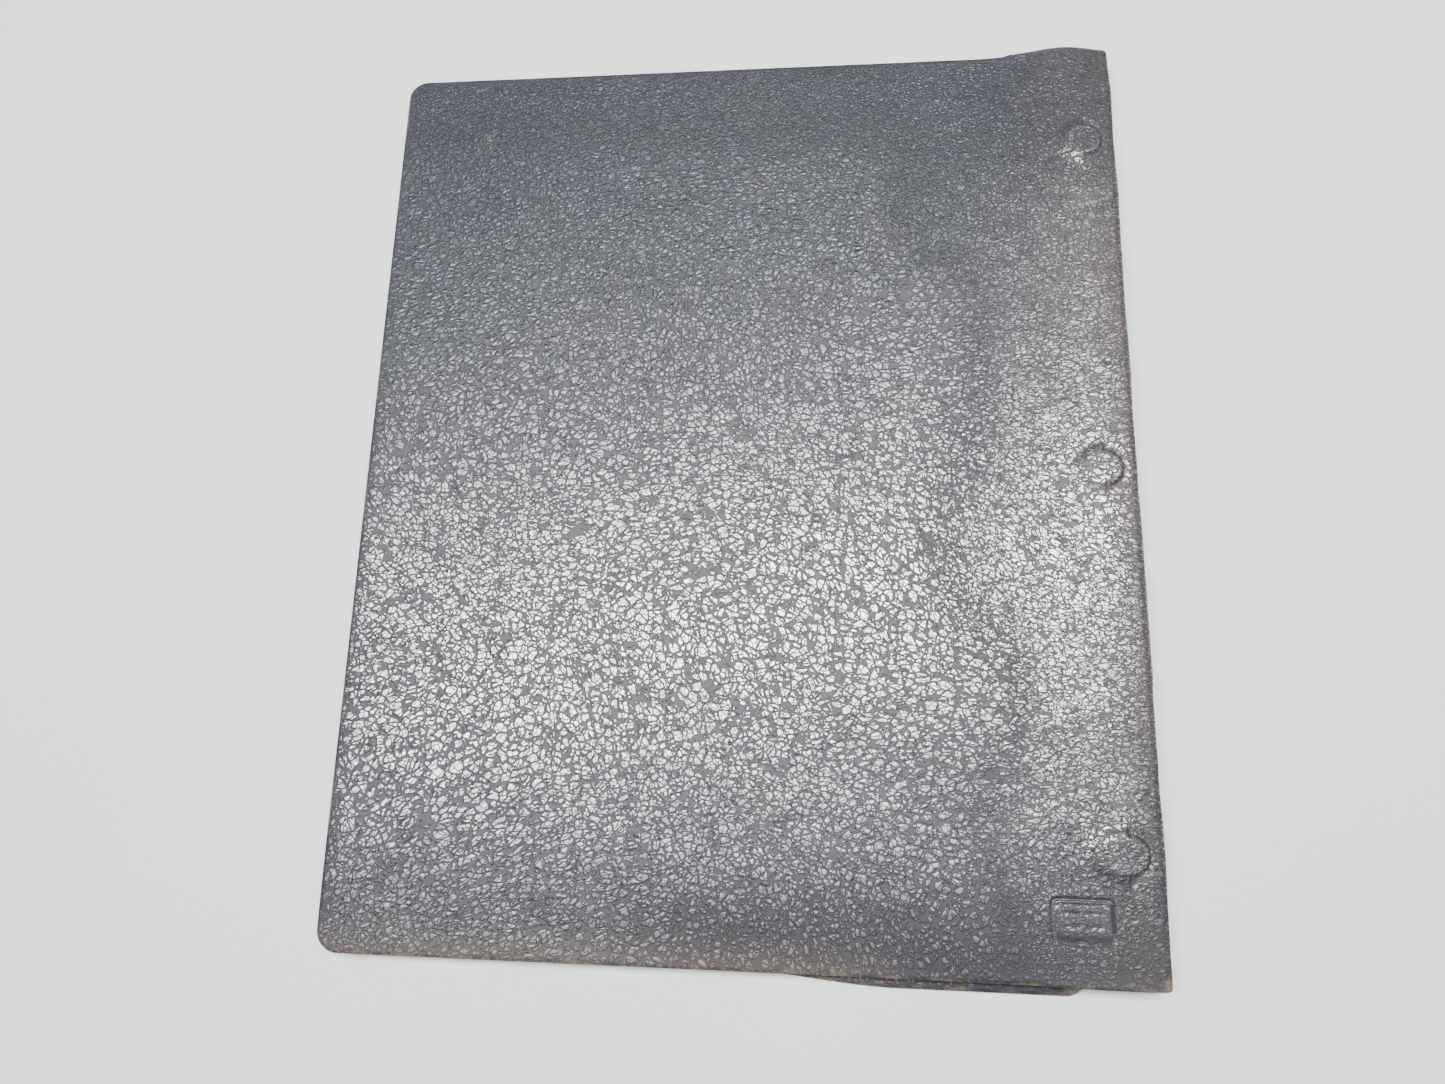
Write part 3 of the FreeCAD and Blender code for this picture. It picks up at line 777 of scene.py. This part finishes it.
# closed skin from columns first..last of the jacket, with its turned-in flap round the board
def leatherPiece(name, grid, first, last):
    cut = {key: values[first:last] for key, values in grid.items() if key != "marks"}
    d, shape = cut["d"], cut["d"].shape
    cells = np.ones((shape[0] - 1, shape[1] - 1), bool)
    rim = cut["turned"][:-1, :-1] & cut["turned"][1:, 1:]
    faces, slots = closedShell(shape, cells, d < 1e-9, np.where(rim, 0, 1))
    deep = np.minimum(np.minimum(d[:-1, :-1], d[1:, 1:]), np.minimum(d[1:, :-1], d[:-1, 1:])) > 2.5 * mm
    farthest = np.maximum(np.maximum(d[:-1, :-1], d[1:, 1:]), np.maximum(d[1:, :-1], d[:-1, 1:]))
    near = farthest < jacket["turnIn"]
    held = np.minimum(cut["boarded"][:-1], cut["boarded"][1:]) > 0.99
    noJoin, blackSlots = np.zeros(shape, bool), np.zeros(cells.shape, int)
    flapFaces, flapSlots = closedShell(shape, deep & near & held, noJoin, blackSlots)
    start = 2 * d.size
    faces += [[v + start for v in face] for face in flapFaces]
    verts = np.vstack([cut[key].reshape(-1, 3) for key in ("outer", "inner", "flapTop", "flapUnder")])
    marks = {key: np.tile(values[first:last].ravel(), 4) for key, values in grid["marks"].items()}
    uvs = np.tile(cut["uv"].reshape(-1, 2), (4, 1))
    mesh = buildMesh(name, verts, faces, uvs, slots + flapSlots, marks)
    mesh.materials.append(leather)
    mesh.materials.append(flesh)
    cleanMesh(mesh)
    return newObject(name, mesh)


backPiece, bindingPiece, frontPiece = makeJacket()
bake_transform(backPiece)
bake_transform(bindingPiece)
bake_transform(frontPiece)
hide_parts("back_leather")
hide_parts("back_margin_leather")
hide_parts("front_leather", "spine_leather")
print("jacket made", [len(p.data.polygons) for p in (backPiece, bindingPiece, frontPiece)])


# carried-over CAD pieces get their finishes

finishes = {"front_lining": liningCloth, "back_lining": liningCloth, "spine_liner": liningCloth,
            "front_board": greyBoard, "back_board": greyBoard,
            "front_binding_strip": fibre, "back_binding_strip": fibre}


def dress(node, material):
    item = frame["nodes"][node]
    for slotted in item.material_slots:
        slotted.material = material


for node in frame["nodes"]:
    if node in finishes:
        dress(node, finishes[node])
    elif node.startswith("binding_"):
        dress(node, nickel)
    elif node.startswith("eyelet"):
        dress(node, brass)
print("carried-over pieces dressed")


# log sheets and tab dividers: separate thin leaves, clamped flat, drooping to their free height

leaves = {"perPack": 4, "gap": 0.015 * mm, "columnStep": 9 * mm, "rowStep": 14 * mm, "bendStep": 0.35 * mm,
          "hole": 3.2 * mm, "wander": 0.35 * mm, "curl": 0.05 * mm,
          "tabCorner": 3 * mm, "tabPitch": 65 * mm, "tabLength": 55 * mm}


def leafColumns(start, clampEnd, droopEnd, end):
    places = list(np.linspace(start, clampEnd, 6)) + list(np.linspace(clampEnd, droopEnd, 14)[1:])
    hinge = toS(joints["section_1_turn"]["pos_m"][0])
    places += list(np.arange(droopEnd + leaves["bendStep"], hinge + 4.2 * mm, leaves["bendStep"]))
    places += list(np.linspace(places[-1], end, round((end - places[-1]) / leaves["columnStep"]))[1:])
    places += [hinge - 0.4 * mm * k for k in range(1, 10)]
    return np.array(sorted(set(np.round(places, 6))))


# one sheet: level in the clamp, an S-bend, then the free leaf. tab is (y low, y high, reach)
def makeLeaf(name, section, lowClamped, lowFree, thick, shift, seed, tab=None):
    sheetLow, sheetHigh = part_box("log_sheets_%d_margin" % section)
    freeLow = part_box("log_sheets_%d" % section)[0]
    start, end = toS(sheetHigh.x), toS(freeLow.x)
    clampEnd, droopEnd = toS(stripLow.x), toS(sheetLow.x)
    columns = leafColumns(start, clampEnd, droopEnd, end)
    if tab:
        columns = np.concatenate([columns, np.linspace(end, end + tab[2], 6)[1:]])
    half = sheetHigh.y
    rows = set(np.linspace(-half, half, round(2 * half / leaves["rowStep"]) + 1))
    if tab:
        rows |= set(np.linspace(tab[0], tab[1], 9))
        rows |= {tab[0] + leaves["tabCorner"], tab[1] - leaves["tabCorner"]}
    rows = np.array(sorted(rows))
    t = np.clip((columns - clampEnd) / (droopEnd - clampEnd), 0, 1)
    fall = t * t * (3 - 2 * t)
    base = lowClamped + (lowFree - lowClamped) * fall
    free = smooth(droopEnd, droopEnd + 90 * mm, columns)[:, None]
    s = columns[:, None] + 0 * rows[None, :]
    y = rows[None, :] + 0 * s
    z = base[:, None] + leaves["curl"] * free * waves(s, y, 120 * mm, seed)
    loose = smooth(clampEnd, droopEnd + 20 * mm, columns)[:, None]
    s2, y2 = s + shift[0] * loose, y + shift[1] * (0.3 + 0.7 * loose)
    if tab:
        # the tab narrows to round corners past the sheet's edge
        over = np.clip(s - end, 0, None)
        corner = np.clip(over - (tab[2] - leaves["tabCorner"]), 0, None)
        pull = leaves["tabCorner"] - np.sqrt(np.clip(leaves["tabCorner"] ** 2 - corner ** 2, 0, None))
        middle = (tab[0] + tab[1]) / 2
        halfTab = (tab[1] - tab[0]) / 2
        y2 = np.where(over > 0, middle + (y - middle) * (halfTab - pull) / halfTab, y2)
    nI, nJ = s.shape
    low = np.stack([toX(s2), y2, z], -1).reshape(-1, 3)
    high = low + [0, 0, thick]
    inTab = np.ones((nI - 1, nJ - 1), bool)
    if tab:
        yMid = (rows[1:] + rows[:-1]) / 2
        sMid = (columns[1:] + columns[:-1]) / 2
        inTab = (sMid[:, None] < end) | ((yMid[None, :] > tab[0]) & (yMid[None, :] < tab[1]))
    faces, _ = closedShell((nI, nJ), inTab, np.zeros((nI, nJ), bool), np.zeros((nI - 1, nJ - 1), int))
    verts = np.vstack([low, high])
    uv = np.tile(np.stack([s, y + halfHeight], -1).reshape(-1, 2) * 100, (2, 1))
    rim = np.minimum(np.minimum(s - start, end + (tab[2] if tab else 0) - s), half - np.abs(y))
    age = np.tile(hill(rim, 0, 7 * mm).ravel(), 2)
    mesh = buildMesh(name, verts, faces, uv, None, {"edgeWear": age})
    cleanMesh(mesh)
    leaf = newObject(name, mesh)
    mesh.materials.append(buffCard if tab else logPaper)
    punch(leaf)
    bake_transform(leaf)
    return leaf


# three round holes for the posts
def punch(leaf):
    bm = bmesh.new()
    radius = leaves["hole"]
    for k in (-1, 0, 1):
        turn = bmesh.ops.create_cone(bm, cap_ends=True, segments=32, radius1=radius, radius2=radius,
                                     depth=30 * mm)
        spot = (postMid.x, postMid.y + k * (postTop.y - postMid.y), 5 * mm)
        bmesh.ops.translate(bm, verts=turn["verts"], vec=spot)
    tool = bpy.data.meshes.new("punch")
    bm.to_mesh(tool)
    bm.free()
    cutter = newObject("punch", tool)
    cut = leaf.modifiers.new("holes", "BOOLEAN")
    cut.operation, cut.object, cut.solver = "DIFFERENCE", cutter, "EXACT"
    graph = bpy.context.evaluated_depsgraph_get()
    done = bpy.data.meshes.new_from_object(leaf.evaluated_get(graph))
    leaf.modifiers.clear()
    leaf.data = done
    bpy.data.objects.remove(cutter)


for section in (1, 2, 3, 4):
    packLow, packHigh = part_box("log_sheets_%d" % section)
    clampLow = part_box("log_sheets_%d_margin" % section)[1].z - (packHigh.z - packLow.z)
    thick = (packHigh.z - packLow.z) / leaves["perPack"] - leaves["gap"]
    for number in range(leaves["perPack"]):
        lift = number * (thick + leaves["gap"])
        shift = rng.uniform(-leaves["wander"], leaves["wander"], 2)
        name, seed = "logSheet_%d_%d" % (section, number + 1), 40 + section * 9 + number
        makeLeaf(name, section, clampLow + lift, packLow.z + lift, thick, shift, seed)
    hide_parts("log_sheets_%d" % section, "log_sheets_%d_margin" % section)
    cardLow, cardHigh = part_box("tab_divider_%d" % section)
    cardThick = cardHigh.z - cardLow.z
    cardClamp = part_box("tab_divider_%d_margin" % section)[1].z - cardThick
    middle, halfTab = (2.5 - section) * leaves["tabPitch"], leaves["tabLength"] / 2
    tab = (middle - halfTab, middle + halfTab, toS(cardLow.x) - toS(packLow.x))
    card = makeLeaf("tabDivider_%d" % section, section, cardClamp, cardLow.z, cardThick, (0, 0),
                    90 + section, tab)
    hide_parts("tab_divider_%d" % section, "tab_divider_%d_margin" % section)
print("leaves made")


# floor, light and camera

studio = {"floor": 3.0, "keyPlace": (-0.03, 0.16, 1.2), "keySize": (1.4, 0.34), "keyPower": 98.0,
          "fillPlace": (0.9, -0.8, 0.9), "fillSize": (1.0, 1.0), "fillPower": 1.6,
          "world": 0.165, "sky": (0.58, 0.80, 1.0, 1),
          "lens": 25.12, "eye": (25.83 * mm, -91.68 * mm, 300.4 * mm), "tilt": (13.5, 5.48, 1.535)}


def makeStudio():
    edge = studio["floor"] / 2
    mesh = bpy.data.meshes.new("floor")
    corners = [(-edge, -edge, 0), (edge, -edge, 0), (edge, edge, 0), (-edge, edge, 0)]
    mesh.from_pydata(corners, [], [(0, 1, 2, 3)])
    floor = newObject("floor", mesh)
    mesh.materials.append(makeFloor())
    for name in ("key", "fill"):
        spot = studio[name + "Place"]
        light = bpy.data.lights.new(name, "AREA")
        light.shape = "RECTANGLE"
        light.size, light.size_y = studio[name + "Size"]
        light.energy = studio[name + "Power"]
        lamp = newObject(name, light)
        lamp.location = spot
        lamp.rotation_euler = (-Vector(spot)).to_track_quat("-Z", "Y").to_euler()
    world = bpy.data.worlds.new("softRoom")
    world.use_nodes = True
    sky = world.node_tree.nodes["Background"]
    sky.inputs["Color"].default_value = studio["sky"]
    sky.inputs["Strength"].default_value = studio["world"]
    bpy.context.scene.world = world
    lens = bpy.data.cameras.new("camera")
    lens.lens, lens.sensor_width, lens.clip_start = studio["lens"], 36, 0.01
    camera = newObject("camera", lens)
    camera.location = studio["eye"]
    camera.rotation_euler = [math.radians(angle) for angle in studio["tilt"]]
    bpy.context.scene.camera = camera


makeStudio()
print("studio set")
